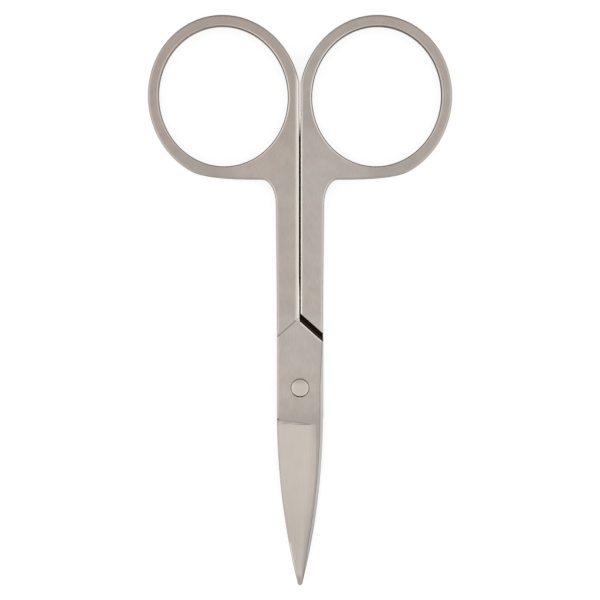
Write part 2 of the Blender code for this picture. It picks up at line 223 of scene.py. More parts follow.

# Painted highlights, partly polish where fingers hold: on rounds, beside the gap and along the slot
HOLE_RIM = (1.07, 1.055)
HOLE_HIGHLIGHT_LEVELS = (0.995, 0.92)
HOLE_HIGHLIGHT_LEVELS_BELOW = (0.66, 0.8)
HOLE_HIGHLIGHT_ACROSS = (18 * MM, 5 * MM)
HOLE_HIGHLIGHT_SHARES = (0.25, 0.6)
ROUND_HIGHLIGHT_LEVELS = (0.97, 0.75)
HIGHLIGHT_STEEP_LEVELS = (0.2, 0.5)
HELD_HIGHLIGHT_SHARES = (0.5, 0.7)
BY_GAP_ALONG = (34 * MM, 39 * MM)
BY_GAP_ACROSS = (5 * MM, 2 * MM)
GAP_HIGHLIGHT_FRONT = 0.95 * MM
SLOT_HIGHLIGHT = 0.36 * MM
SLOT_HIGHLIGHT_SHARE = 0.7
SLOT_HIGHLIGHT_ACROSS = (-0.1 * MM, 0.05 * MM)
EDGE_FADE = 0.3
HIGHLIGHT_SHARE = 0.9
WORN_SHARES = (0.5, 0.1)

# Painted shade on the steep rim of the finger holes, and painted shade in the groove between the two halves
RIM_SHADE_LEVELS = (0.72, 0.5)
RIM_SHADE_LEVELS_BELOW = (0.02, 0.15)
RIM_SHADE_ACROSS = (6 * MM, 16 * MM)
RIM_SHADE_SHARE_BY_GAP = 0.95
RIM_SHADE_SHARE_FRONT = 0.15
GROOVE_FRONT = (0.12 * MM, 0.24 * MM)
GROOVE_ALONG = (14 * MM, 18 * MM)
GROOVE_FADE = (1, 0.7)
GROOVE_LEVELS = (0.03, 0.12)
GROOVE_START = 0.25 * MM
GROOVE_END = (43 * MM, 40 * MM)


def add_node(tree, kind, inputs=None, **settings):
    """A node with its settings, each input set to a value or joined to another node's output."""
    node = tree.nodes.new(kind)
    for name, value in settings.items():
        setattr(node, name, value)
    for key, value in (inputs or {}).items():
        if isinstance(value, bpy.types.NodeSocket):
            tree.links.new(value, node.inputs[key])
        else:
            node.inputs[key].default_value = value
    return node


def new_group(name, inputs, outputs):
    """An empty shader node group, with its input and output nodes."""
    group = bpy.data.node_groups.new(name, "ShaderNodeTree")
    for socket, value in inputs.items():
        added = group.interface.new_socket(socket, in_out="INPUT", socket_type="NodeSocketFloat")
        added.default_value = value
    for socket in outputs:
        group.interface.new_socket(socket, in_out="OUTPUT", socket_type="NodeSocketFloat")
    return group, group.nodes.new("NodeGroupInput").outputs, group.nodes.new("NodeGroupOutput")


def ramp(tree, value, before, after, low=0.0, high=1.0):
    """A smooth change from low to high as the value goes from before to after."""
    inputs = {"Value": value, "From Min": before, "From Max": after, "To Min": low, "To Max": high}
    return add_node(tree, "ShaderNodeMapRange", inputs, interpolation_type="SMOOTHSTEP").outputs["Result"]


def tone_where(tree, share, tone):
    """A factor that goes from 1 to the tone as share goes from 0 to 1."""
    return ramp(tree, share, 0, 1, 1.0, tone)


def maths(tree, operation, first, *others):
    """The operation on the first value and each of the others in turn."""
    for other in others or (0.0,):
        first = add_node(tree, "ShaderNodeMath", {0: first, 1: other}, operation=operation).outputs["Value"]
    return first


def blend_colours(tree, share, first, second):
    """The first colour, turned into the second where share is 1."""
    inputs = {"Factor": share}
    mix = add_node(tree, "ShaderNodeMix", inputs, data_type="RGBA")
    for socket, colour in ((mix.inputs[6], first), (mix.inputs[7], second)):
        if isinstance(colour, bpy.types.NodeSocket):
            tree.links.new(colour, socket)
        else:
            socket.default_value = (*colour, 1.0)
    return mix.outputs[2]


def toned(tree, colour, tone):
    return add_node(tree, "ShaderNodeVectorMath", {0: colour, 3: tone}, operation="SCALE").outputs[0]


def noise(tree, vector, scale, detail):
    inputs = {"Vector": vector, "Scale": scale, "Detail": detail}
    return add_node(tree, "ShaderNodeTexNoise", inputs).outputs["Fac"]


def openness(tree, reach):
    """How far the surroundings are open within this reach."""
    return add_node(tree, "ShaderNodeAmbientOcclusion", {"Distance": reach}, samples=8).outputs["AO"]


# Grain: fine strokes along the scissors, a soft mottling from the tumbling, and wide warm patches.
SPECK_SHARE = 0.8

grain_group, given, made = new_group(
    "steel_grain",
    {"Strokes": 9000.0, "Stretch": 12.0, "Mottle": 500.0, "Patches": 150.0},
    ("Stroke", "Mottle", "Patch", "Speck"),
)
place = add_node(grain_group, "ShaderNodeTexCoord").outputs["Object"]
along_scale = maths(grain_group, "DIVIDE", given["Strokes"], given["Stretch"])
scales = add_node(
    grain_group, "ShaderNodeCombineXYZ", {0: given["Strokes"], 1: along_scale, 2: given["Strokes"]}
).outputs[0]
stretched = add_node(
    grain_group, "ShaderNodeVectorMath", {0: place, 1: scales}, operation="MULTIPLY"
).outputs[0]
speck_scale = maths(grain_group, "MULTIPLY", given["Strokes"], SPECK_SHARE)
for socket, vector, scale, detail in (
    ("Stroke", stretched, 1.0, 4.0),
    ("Mottle", place, given["Mottle"], 3.0),
    ("Patch", place, given["Patches"], 2.0),
    ("Speck", place, speck_scale, 2.0),
):
    grain_group.links.new(noise(grain_group, vector, scale, detail), made.inputs[socket])

# Edge wear: where the surface turns sharply outwards, broken up by the grain.
# Corner: how deep a place lies in an inside corner, where shade is painted.
WORN_TURNS = (0.985, 0.86)
BROKEN_SPAN = (0.3, 0.6)
BROKEN_SHARES = (0.45, 1.0)
OUTSIDE_SPAN = (0.8, 0.98)
CORNER_SPAN = (0.95, 0.55)

wear_and_shade_group, given, made = new_group(
    "edge_wear_and_corner_shade", {"Width": 0.08 * MM, "Break": 2500.0, "Reach": 0.2 * MM}, ("Mask", "Corner")
)
rounded = add_node(wear_and_shade_group, "ShaderNodeBevel", {"Radius": given["Width"]}, samples=6).outputs[0]
facing = add_node(wear_and_shade_group, "ShaderNodeNewGeometry").outputs["Normal"]
turned = add_node(
    wear_and_shade_group, "ShaderNodeVectorMath", {0: rounded, 1: facing}, operation="DOT_PRODUCT"
).outputs["Value"]
place = add_node(wear_and_shade_group, "ShaderNodeTexCoord").outputs["Object"]
worn = ramp(wear_and_shade_group, turned, *WORN_TURNS)
broken = noise(wear_and_shade_group, place, given["Break"], 3.0)
kept = ramp(wear_and_shade_group, broken, *BROKEN_SPAN, *BROKEN_SHARES)
outside = ramp(wear_and_shade_group, openness(wear_and_shade_group, given["Width"]), *OUTSIDE_SPAN)
wear_and_shade_group.links.new(maths(wear_and_shade_group, "MULTIPLY", worn, kept, outside), made.inputs["Mask"])
corner = ramp(wear_and_shade_group, openness(wear_and_shade_group, given["Reach"]), *CORNER_SPAN)
wear_and_shade_group.links.new(corner, made.inputs["Corner"])


def steel_material(name):
    """A new metal material, with its tree and shader, the place on the piece and where its surface faces."""
    material = bpy.data.materials.new(name)
    material.use_nodes = True
    tree = material.node_tree
    shader = tree.nodes["Principled BSDF"]
    shader.inputs["Metallic"].default_value = 1.0
    coordinates = add_node(tree, "ShaderNodeTexCoord")
    place = add_node(tree, "ShaderNodeSeparateXYZ", {0: coordinates.outputs["Object"]}).outputs
    facing = add_node(tree, "ShaderNodeSeparateXYZ", {0: coordinates.outputs["Normal"]}).outputs
    return material, tree, shader, place, facing


def set_group(tree, group, inputs):
    return add_node(tree, "ShaderNodeGroup", inputs, node_tree=group).outputs


def set_surface(tree, shader, colour, rough, height, relief):
    """Gives the steel its colour, its roughness and a bump of this relief."""
    bump = add_node(tree, "ShaderNodeBump", {"Height": height, "Distance": relief}).outputs["Normal"]
    for value, socket in ((colour, "Base Color"), (rough, "Roughness"), (bump, "Normal")):
        tree.links.new(value, shader.inputs[socket])


def satin_steel(name, side, warm, cool, ring_warm, gap_highlight_width, groove, rim_shade_share):
    """Brushed steel, with painted highlights beside the gap, along the slot and on rounds that fingers
    polish.

    Painted shade lies in the gap and on the steep rims of the holes, and darkens the rounds at the far side
    of the rings. side is 1 where the half's own outer side is at -X, and -1 where it is at +X.
    """
    material, tree, shader, place, facing = steel_material(name)
    grain = set_group(tree, grain_group, {"Strokes": 9000.0, "Stretch": 9.0, "Mottle": 420.0})
    worn = set_group(tree, wear_and_shade_group, {"Width": 0.07 * MM})["Mask"]
    off_centre = maths(tree, "ABSOLUTE", place["X"])
    own_x = maths(tree, "MULTIPLY", place["X"], side)
    level = maths(tree, "ABSOLUTE", facing["Z"])

    tint = blend_colours(tree, ramp(tree, grain["Patch"], *PATCH_SPAN), warm, cool)
    warmth = ramp(tree, off_centre, *WARM_ACROSS, *WARM_SHARES)
    warmth = maths(tree, "MULTIPLY", ramp(tree, place["Y"], *WARM_ALONG), warmth)
    tint = blend_colours(tree, warmth, tint, ring_warm)
    in_ring = maths(
        tree, "MAXIMUM", ramp(tree, place["Y"], *RING_ALONG), ramp(tree, off_centre, *RING_ACROSS)
    )
    # painted shade: surfaces that face +Y are darkened
    far_side_shade = ramp(tree, facing["Y"], *FAR_SIDE_SHADE_TURN)
    tone = maths(
        tree,
        "MULTIPLY",
        ramp(tree, grain["Stroke"], *WIDE_NOISE_SPAN, *STROKE_TONES),
        ramp(tree, grain["Mottle"], *NOISE_SPAN, *MOTTLE_TONES),
        tone_where(tree, in_ring, RING_TONE),
        tone_where(tree, far_side_shade, FAR_SIDE_SHADE),
        ramp(tree, place["Y"], SHOULDER_REACH, lap_corner_y, 1.0, PLATE_TONE),
        # painted shade just above the step
        ramp(tree, place["Y"], *HEEL_SHADE_ALONG, 1.0, HEEL_SHADE),
    )
    flat = add_node(tree, "ShaderNodeCombineXYZ", {0: own_x, 1: place["Y"]}).outputs[0]
    in_oval = add_node(
        tree,
        "ShaderNodeMapping",
        {
            "Vector": flat,
            "Location": (hole_x, HOLE_REACH, 0),
            "Rotation": (0, 0, HOLE_LEAN),
            "Scale": (*hole_half, 1),
        },
        vector_type="TEXTURE",
    ).outputs[0]
    from_hole = add_node(tree, "ShaderNodeVectorMath", {0: in_oval}, operation="LENGTH").outputs["Value"]
    by_hole = ramp(tree, from_hole, *HOLE_RIM)
    # painted highlight, partly polish, on the rounds of the holes, stronger towards the gap
    rubbed_and_highlight = maths(
        tree,
        "MULTIPLY",
        ramp(tree, level, *HOLE_HIGHLIGHT_LEVELS),
        ramp(tree, level, *HOLE_HIGHLIGHT_LEVELS_BELOW),
        ramp(tree, off_centre, *HOLE_HIGHLIGHT_ACROSS, *HOLE_HIGHLIGHT_SHARES),
        by_hole,
    )
    # painted shade: a dark outline on the steep part of the holes' rounds
    rim_shade = maths(
        tree,
        "MULTIPLY",
        ramp(tree, level, *RIM_SHADE_LEVELS),
        ramp(tree, level, *RIM_SHADE_LEVELS_BELOW),
        ramp(tree, off_centre, *RIM_SHADE_ACROSS, RIM_SHADE_SHARE_BY_GAP, rim_shade_share),
        by_hole,
    )
    colour = blend_colours(tree, rim_shade, toned(tree, tint, tone), RIM_SHADE_COLOUR)

    above_lap = ramp(tree, place["Y"], lap_corner_y, lap_corner_y + GROOVE_START)
    # painted highlight beside the gap, and below it a painted highlight along the slot rim
    gap_highlight = ramp(tree, off_centre, gap_highlight_width, EDGE_FADE * gap_highlight_width)
    gap_highlight = maths(tree, "MULTIPLY", gap_highlight, above_lap)
    slot_fall = maths(tree, "MULTIPLY", own_x, math.tan(SHOULDER_SLOPE))
    to_slot = maths(tree, "SUBTRACT", lap_corner_y, slot_fall, place["Y"])
    to_slot = maths(tree, "MULTIPLY", to_slot, math.cos(SHOULDER_SLOPE))
    rim = maths(
        tree,
        "MULTIPLY",
        ramp(tree, own_x, *SLOT_HIGHLIGHT_ACROSS),
        ramp(tree, level, *HIGHLIGHT_STEEP_LEVELS),
        ramp(tree, to_slot, SLOT_HIGHLIGHT, EDGE_FADE * SLOT_HIGHLIGHT),
        SLOT_HIGHLIGHT_SHARE,
    )
    by_gap = maths(
        tree, "MULTIPLY", ramp(tree, off_centre, *BY_GAP_ACROSS), ramp(tree, place["Y"], *BY_GAP_ALONG)
    )
    # painted highlight on the ring rounds by the gap, kept off the far side and the holes
    held_highlight = maths(
        tree,
        "MULTIPLY",
        ramp(tree, level, *ROUND_HIGHLIGHT_LEVELS),
        ramp(tree, level, *HIGHLIGHT_STEEP_LEVELS),
        ramp(tree, by_gap, 0, 1, *HELD_HIGHLIGHT_SHARES),
        maths(tree, "SUBTRACT", 1.0, far_side_shade),
        maths(tree, "SUBTRACT", 1.0, by_hole),
    )
    highlight = maths(tree, "MAXIMUM", gap_highlight, held_highlight, rubbed_and_highlight, rim)
    colour = blend_colours(tree, maths(tree, "MULTIPLY", highlight, HIGHLIGHT_SHARE), colour, POLISH_AND_HIGHLIGHT)
    worn_share = maths(tree, "MULTIPLY", worn, ramp(tree, by_hole, 0, 1, *WORN_SHARES))
    colour = blend_colours(tree, worn_share, colour, POLISH_AND_HIGHLIGHT)
    # painted shade in the narrow groove between the two halves
    groove_width = ramp(tree, place["Y"], *GROOVE_ALONG, *groove)
    gap_shade = maths(
        tree,
        "MULTIPLY",
        ramp(tree, maths(tree, "DIVIDE", off_centre, groove_width), *GROOVE_FADE),
        ramp(tree, level, *GROOVE_LEVELS),
        ramp(tree, place["Y"], *GROOVE_END),
        above_lap,
    )
    colour = blend_colours(tree, gap_shade, colour, DEEP_SHADE)
    rough = ramp(tree, grain["Mottle"], *NOISE_SPAN, *SATIN_ROUGHNESS)
    rough = maths(tree, "ADD", rough, ramp(tree, grain["Stroke"], *NOISE_SPAN, *STROKE_ROUGHNESS))
    rough = maths(tree, "SUBTRACT", rough, maths(tree, "MULTIPLY", worn, WORN_SMOOTHER))
    height = maths(tree, "ADD", grain["Stroke"], grain["Speck"])
    set_surface(tree, shader, colour, rough, height, SATIN_RELIEF)
    return material


front_half.data.materials.append(
    satin_steel(
        "satin_steel_front",
        1,
        STEEL_WARM,
        STEEL_COOL,
        RING_WARM,
        GAP_HIGHLIGHT_FRONT,
        GROOVE_FRONT,
        RIM_SHADE_SHARE_FRONT,
    )
)


# Pivot plate and blade of the front half.
# The lower part of the same forging, thinned to the lap that lies on the other half, down to the tip.
# Its flanks are milled, its upper edges broken, and the plate runs out to the shank in a hollow ramp.
LAP_LOW = front_high.z - 1.5 * MM
LAP_HIGH = front_high.z
FAR_MARGIN = 0.55 * MM
FAR_MARGIN_AT_END = 0.2 * MM
FAR_TAPER_START = 0.4 * MM
RAMP_WIDTH = 0.55 * MM
PLATE_ROUND = 0.45 * MM
FAR_ROUND = 0.18 * MM
SPINE_ROUND = 0.04 * MM
CREASE_ROUND = 0.08 * MM

BLADE_REACH = -front_low.y
HEEL_REACH = 4.0 * MM
TIP_HALF_WIDTH = 0.3 * MM
NOSE_LENGTH = 0.31 * MM
MARGIN_SHARE_AT_TIP = 0.16
SPINE_THICKNESS_AT_TIP = 0.8 * MM
SPINE_TAPER_START = 8.2 * MM
STEP_REACH = 5.0 * MM
BLADE_STEPS = 64
NOSE_STEPS = 14
TURN_STEPS = 96


def lap_end_y(x):
    """The far end of the lap, parallel to the other half's shoulder."""
    return lap_corner_y - x * math.tan(SHOULDER_SLOPE)


edge_drop = SHANK_SIDE - TIP_HALF_WIDTH
edge_radius = ((BLADE_REACH - HEEL_REACH) ** 2 + edge_drop**2) / (2 * edge_drop)


def half_width(y):
    """How far the cutting edge lies from the centre line: an arc that leaves the plate without a kink."""
    return SHANK_SIDE - edge_radius + math.sqrt(edge_radius**2 - max(0.0, -HEEL_REACH - y) ** 2)


def spine_x(y):
    return half_width(y) - min(FAR_MARGIN, MARGIN_SHARE_AT_TIP * 2 * half_width(y))


def spine_level(y):
    fall = (LAP_HIGH - LAP_LOW - SPINE_THICKNESS_AT_TIP) / (BLADE_REACH - SPINE_TAPER_START)
    return LAP_HIGH - max(0.0, -SPINE_TAPER_START - y) * fall


nose_y = NOSE_LENGTH - BLADE_REACH
stations = spread(-HEEL_REACH, nose_y, BLADE_STEPS)
nose_half = (half_width(nose_y) + spine_x(nose_y)) / 2
nose_x = spine_x(nose_y) - nose_half
nose = [
    (nose_x + nose_half * math.cos(turn), nose_y + NOSE_LENGTH * math.sin(turn))
    for turn in spread(math.pi, math.tau, NOSE_STEPS)[1:-1]
]
end_x = SHANK_SIDE - FAR_MARGIN_AT_END
lap_outline = [(-SHANK_SIDE, shoulder_y(-SHANK_SIDE) + BURIED)]
lap_outline += [(-half_width(y), y) for y in stations]
lap_outline += nose
lap_outline += [(spine_x(y), y) for y in reversed(stations)]
lap_outline += [
    (spine_x(0), FAR_TAPER_START),
    (end_x, lap_end_y(end_x)),
    (-SHANK_GAP / 2, lap_end_y(-SHANK_GAP / 2)),
    (-SHANK_GAP / 2, shoulder_y(-SHANK_GAP / 2) + BURIED),
]
lap = flat_blank("front_lap", [lap_outline], LAP_LOW - BURIED / 2, LAP_HIGH)
lap.data.materials.append(front_half.data.materials[0])

up_slope = Vector((-math.sin(SHOULDER_SLOPE), math.cos(SHOULDER_SLOPE), 0))
ramp_angle = math.atan2(LAP_HIGH - STOCK_HIGH, RAMP_WIDTH)
ramp_normal = up_slope * math.sin(ramp_angle) + Vector((0, 0, math.cos(ramp_angle)))
taper_angle = math.atan2(LAP_HIGH - spine_level(-BLADE_REACH), BLADE_REACH - SPINE_TAPER_START)
bpy.ops.object.mode_set(mode="EDIT")
for point, normal in (
    ((0, SHOULDER_REACH, STOCK_HIGH), ramp_normal),
    ((0, -SPINE_TAPER_START, LAP_HIGH), (0, -math.sin(taper_angle), math.cos(taper_angle))),
):
    bpy.ops.mesh.select_all(action="SELECT")
    bpy.ops.mesh.bisect(plane_co=point, plane_no=normal, use_fill=True, clear_outer=True, threshold=ON_PLANE)
bpy.ops.object.mode_set(mode="OBJECT")


def upper_round(start, end):
    """How far an upper edge of the lap is rounded, from where it lies."""
    middle = (start + end) / 2
    top = spine_level(middle.y)
    on_ramp = (middle - Vector((0, SHOULDER_REACH, STOCK_HIGH))).dot(ramp_normal) > -SAME_PLACE
    if min(start.z - spine_level(start.y), end.z - spine_level(end.y)) < -SAME_PLACE and not on_ramp:
        return 0.0
    if abs(start.z - end.z) > BURIED / 2 or middle.z < STOCK_HIGH - SAME_PLACE:
        return 0.0
    if middle.x < SAME_PLACE - half_width(middle.y):
        return PLATE_ROUND if middle.y > -STEP_REACH else 0.0
    if on_ramp and abs(middle.z - top) < SAME_PLACE:
        return CREASE_ROUND
    if middle.y > -HEEL_REACH and (middle.x < SAME_PLACE or abs(start.x - end.x) > FAR_MARGIN):
        return FAR_ROUND
    if abs(middle.y + SPINE_TAPER_START) < SAME_PLACE and abs(start.x - end.x) > FAR_MARGIN:
        return 0.0
    return SPINE_ROUND if middle.y > nose_y else 0.0


weights = lap.data.attributes.new("bevel_weight_edge", "FLOAT", "EDGE")
for edge in lap.data.edges:
    start, end = (lap.data.vertices[index].co for index in edge.vertices)
    weights.data[edge.index].value = upper_round(start, end) / PLATE_ROUND
rounding = lap.modifiers.new("broken_edges", "BEVEL")
rounding.limit_method = "WEIGHT"
rounding.width = PLATE_ROUND
rounding.segments = ROUND_STEPS
rounding.use_clamp_overlap = False
bpy.ops.object.modifier_apply(modifier=rounding.name)


def join_on(piece, tool, operation):
    """Joins the tool to the piece or cuts it away, its faces keeping their materials, and removes it."""
    pick_only(piece)
    step = piece.modifiers.new(tool.name, "BOOLEAN")
    step.operation = operation
    step.material_mode = "TRANSFER"
    step.object = tool
    bpy.ops.object.modifier_apply(modifier=step.name)
    bpy.data.objects.remove(tool)


ramp_height = LAP_HIGH - STOCK_HIGH + SAME_PLACE
ramp_radius = (RAMP_WIDTH**2 + ramp_height**2) / (2 * ramp_height)
bpy.ops.object.select_all(action="DESELECT")
bpy.ops.mesh.primitive_cylinder_add(
    vertices=TURN_STEPS,
    radius=ramp_radius,
    depth=6 * SHANK_SIDE,
    location=(0, SHOULDER_REACH, STOCK_HIGH - SAME_PLACE + ramp_radius),
    rotation=(0, math.pi / 2, SHOULDER_SLOPE),
)
ramp_wheel = bpy.context.object
bpy.ops.object.transform_apply(location=True, rotation=True)
ramp_wheel.data.materials.append(front_half.data.materials[0])
join_on(lap, ramp_wheel, "DIFFERENCE")
join_on(front_half, lap, "UNION")


# Inner face of each half.
# The side that lies on the other half is ground flat, so that the blades shear. Round the pivot the two
# halves have rubbed arcs into each other, and painted shade darkens the face below the shoulder.
INNER_SIDE = 80 * MM
inner_loop = [
    (-INNER_SIDE, shoulder_y(-INNER_SIDE)),
    (-INNER_SIDE, -2 * INNER_SIDE),
    (INNER_SIDE, -2 * INNER_SIDE),
    (INNER_SIDE, shoulder_y(INNER_SIDE)),
]
inner_stone = flat_blank("inner_face", [inner_loop], LAP_LOW - 2 * STOCK_THICKNESS, LAP_LOW)

INNER_COLOUR = (0.72, 0.69, 0.665)
INNER_STREAK = (0.66, 0.633, 0.61)
INNER_ROUGHNESS = (0.14, 0.2)
INNER_RELIEF = 0.0012 * MM
INNER_TONE_AT_TIP = 0.8
INNER_TIP_ALONG = (-14 * MM, -25 * MM)
INNER_WORN_SHARE = 0.5
EDGE_DARK_TONE = 0.7
EDGE_DARK_WIDTH = 0.12 * MM
EDGE_DARK_FADE = 0.5
EDGE_DARK_ALONG = (-9 * MM, -18 * MM)
ARC_SCALE = 9000.0
ARC_SPAN = (0.42, 0.62)
RUB_REACH = 5.5 * MM
RUB_FADE = 0.6
RUB_SHARE = 0.25
RUB_RELIEF = 0.5
# Painted shade in inside corners and in the slot below the shoulder
BROWN_SHADE = (0.085, 0.048, 0.022)
CORNER_SHADE_SHARE = 0.75
BROWN_LINE = (0.1 * MM, 0.03 * MM)
BROWN_LINE_REACH = 0.76 * MM
SLOT_WIDTH = 0.95 * MM
SLOT_SHADE_FADE = 1.2
SLOT_SHADE_WAVE = 0.2 * MM
SLOT_SHADE_ROUGHER = 0.35


def reach_of(tree, across, along):
    """How far a place lies from the point where both of these are 0."""
    flat = add_node(tree, "ShaderNodeCombineXYZ", {0: across, 1: along}).outputs[0]
    return add_node(tree, "ShaderNodeVectorMath", {0: flat}, operation="LENGTH").outputs["Value"]


def inner_face_steel(name, side):
    """Finely ground steel, rubbed arcs, painted shade below the shoulder and in corners, a darker cutting
    edge.

    side is 1 where the shank's own outer side is at -X, and -1 where it is at +X.
    """
    material, tree, shader, place = steel_material(name)[:4]
    grain = set_group(tree, grain_group, {"Strokes": 5200.0, "Stretch": 0.12, "Mottle": 300.0})
    edges = set_group(tree, wear_and_shade_group, {"Width": 0.05 * MM, "Reach": 0.25 * MM})
    colour = blend_colours(tree, ramp(tree, grain["Stroke"], *NOISE_SPAN), INNER_COLOUR, INNER_STREAK)

    reach = reach_of(tree, place["X"], place["Y"])
    arc_inputs = {"W": maths(tree, "MULTIPLY", reach, ARC_SCALE), "Scale": 1.0, "Detail": 5.0}
    arcs = add_node(tree, "ShaderNodeTexNoise", arc_inputs, noise_dimensions="1D").outputs["Fac"]
    rubbed_and_highlight = ramp(tree, reach, RUB_REACH, RUB_FADE * RUB_REACH)
    rubbed_and_highlight = maths(tree, "MULTIPLY", rubbed_and_highlight, ramp(tree, arcs, *ARC_SPAN))
    # the corner mark is painted shade, dark brown in inside corners such as beside the other half's spine
    for mark, share, mark_colour in (
        (rubbed_and_highlight, RUB_SHARE, POLISH_AND_HIGHLIGHT),
        (edges["Mask"], INNER_WORN_SHARE, POLISH_AND_HIGHLIGHT),
        (edges["Corner"], CORNER_SHADE_SHARE, BROWN_SHADE),
    ):
        colour = blend_colours(tree, maths(tree, "MULTIPLY", mark, share), colour, mark_colour)

    # painted shade in the slot below the shoulder, with a less dark brown line painted along it
    sloped = maths(tree, "MULTIPLY", place["X"], side * math.tan(SHOULDER_SLOPE))
    below = maths(tree, "SUBTRACT", maths(tree, "ADD", sloped, SHOULDER_REACH), place["Y"])
    below = maths(tree, "MULTIPLY", below, math.cos(SHOULDER_SLOPE))
    wave = maths(tree, "MULTIPLY", maths(tree, "SUBTRACT", grain["Mottle"], 0.5), SLOT_SHADE_WAVE)
    slot_shade = ramp(tree, maths(tree, "ADD", below, wave), SLOT_SHADE_FADE * SLOT_WIDTH, SLOT_WIDTH)
    off_line = maths(tree, "ABSOLUTE", maths(tree, "SUBTRACT", below, BROWN_LINE_REACH))
    slot_shade_colour = blend_colours(tree, ramp(tree, off_line, *BROWN_LINE), DEEP_SHADE, BROWN_SHADE)
    colour = blend_colours(tree, slot_shade, colour, slot_shade_colour)

    # darker along the cutting edge towards the tip
    to_arc_x = maths(tree, "SUBTRACT", maths(tree, "MULTIPLY", place["X"], -side), SHANK_SIDE - edge_radius)
    from_arc = reach_of(tree, to_arc_x, maths(tree, "ADD", place["Y"], HEEL_REACH))
    inside_edge = maths(tree, "SUBTRACT", edge_radius, from_arc)
    edge_dark = ramp(tree, inside_edge, EDGE_DARK_WIDTH, EDGE_DARK_FADE * EDGE_DARK_WIDTH)
    edge_dark = maths(tree, "MULTIPLY", edge_dark, ramp(tree, place["Y"], *EDGE_DARK_ALONG))
    tone = ramp(tree, place["Y"], *INNER_TIP_ALONG, 1.0, INNER_TONE_AT_TIP)
    colour = toned(tree, colour, maths(tree, "MULTIPLY", tone, tone_where(tree, edge_dark, EDGE_DARK_TONE)))
    rough = ramp(tree, arcs, *NOISE_SPAN, *INNER_ROUGHNESS)
    rough = maths(tree, "ADD", rough, maths(tree, "MULTIPLY", slot_shade, SLOT_SHADE_ROUGHER))
    height = maths(tree, "ADD", grain["Stroke"], maths(tree, "MULTIPLY", rubbed_and_highlight, RUB_RELIEF))
    set_surface(tree, shader, colour, rough, height, INNER_RELIEF)
    return material


inner_stone.data.materials.append(inner_face_steel("inner_face_front", 1))
join_on(front_half, inner_stone, "DIFFERENCE")


# Ground face of each blade.
# The outer side is ground away on a wheel, from a hollow step below the pivot down to the tip, beside a
# narrow land that is left along the spine, and a steeper facet is honed along the cutting edge.
EDGE_THICKNESS = 0.12 * MM
HONED_WIDTH = 0.22 * MM
HONED_HEIGHT = 0.34 * MM
HONED_SHARE_AT_TIP = 0.25
STEP_FOOT_AT_EDGE = 5.95 * MM
STEP_FOOT_INSIDE = 5.84 * MM
STEP_RADIUS = 0.32 * MM
GRIND_HOLLOW = 0.03 * MM
FULL_HOLLOW_WIDTH = 4 * MM
LAND_WIDTH = 0.55 * MM
LAND_WIDTH_BELOW = 0.25 * MM
LAND_TAPER_LENGTH = 8.0 * MM
LAND_SHARE_AT_TIP = 0.2
EASE_START = 0.76
EASE_LEFT = 0.15
PAST_SURFACE = 0.1 * MM
FACE_SHARES = (0, 0.2, 0.4, 0.6, 0.7, 0.76, 0.8, 0.84, 0.88, 0.92, 0.96, 1.0, 1.1)
WALL_STEPS = 12


def blade_width(y):
    return half_width(y) + spine_x(y)


def land_x(y):
    """The line where the ground face runs out at the land, which narrows down the blade."""
    tapered = min(1.0, max(0.0, (-STEP_FOOT_INSIDE - y) / LAND_TAPER_LENGTH))
    width = LAND_WIDTH + (LAND_WIDTH_BELOW - LAND_WIDTH) * tapered
    return spine_x(y) - min(width, LAND_SHARE_AT_TIP * blade_width(y))


def honed_x(y):
    """The line between the ground face and the honed facet."""
    return min(HONED_WIDTH, HONED_SHARE_AT_TIP * blade_width(y)) - half_width(y)


def risen(share):
    """How far the ground face has risen at a share of its width: straight, then eased to run out softly."""
    steepness = 1 / (1 - (1 - EASE_LEFT) * (1 - EASE_START) / 2)
    if share > 1:
        return 1 + steepness * EASE_LEFT * (share - 1)
    eased = max(0.0, share - EASE_START)
    return steepness * (share - (1 - EASE_LEFT) * eased**2 / (2 * (1 - EASE_START)))


def ground_level(share, y):
    low = LAP_LOW + HONED_HEIGHT
    hollow = GRIND_HOLLOW * 4 * share * max(0.0, 1 - share) * min(1.0, blade_width(y) / FULL_HOLLOW_WIDTH)
    return low + (spine_level(y) - low) * risen(share) - hollow


def honed_level(x, y):
    """The honed facet's plane, carried on past the cutting edge."""
    rise = (HONED_HEIGHT - EDGE_THICKNESS) / (honed_x(y) + half_width(y))
    return LAP_LOW + EDGE_THICKNESS + rise * (x + half_width(y))


def wheel_section(left_y, right_y, wall_share=0.0):
    """A closed section of the ground-away body, from outside the cutting edge past the land.

    A wall_share above 0 lifts its lower side up the hollow wall of the step, which starts level at its foot.
    """
    outer_x = -half_width(left_y) - BURIED
    row = [Vector((outer_x, left_y, honed_level(outer_x, left_y)))]
    for share in FACE_SHARES:
        x = honed_x(left_y) + (land_x(right_y) - honed_x(left_y)) * share
        y = left_y + (right_y - left_y) * min(1.0, share)
        row.append(Vector((x, y, ground_level(share, y))))
    raised = []
    for point in row:
        depth = spine_level(point.y) + PAST_SURFACE - point.z
        back = math.sqrt(2 * STEP_RADIUS * depth)
        raised.append(point + Vector((0, back * wall_share, depth * wall_share**2)))
    above = LAP_HIGH + BURIED
    return raised + [Vector((raised[-1].x, raised[-1].y, above)), Vector((raised[0].x, raised[0].y, above))]


sections = [
    wheel_section(-STEP_FOOT_AT_EDGE, -STEP_FOOT_INSIDE, share) for share in spread(1, 0, WALL_STEPS)
]
for y in spread(-STEP_FOOT_AT_EDGE, -BLADE_REACH - NOSE_LENGTH, BLADE_STEPS)[1:]:
    sections.append(wheel_section(y, y))

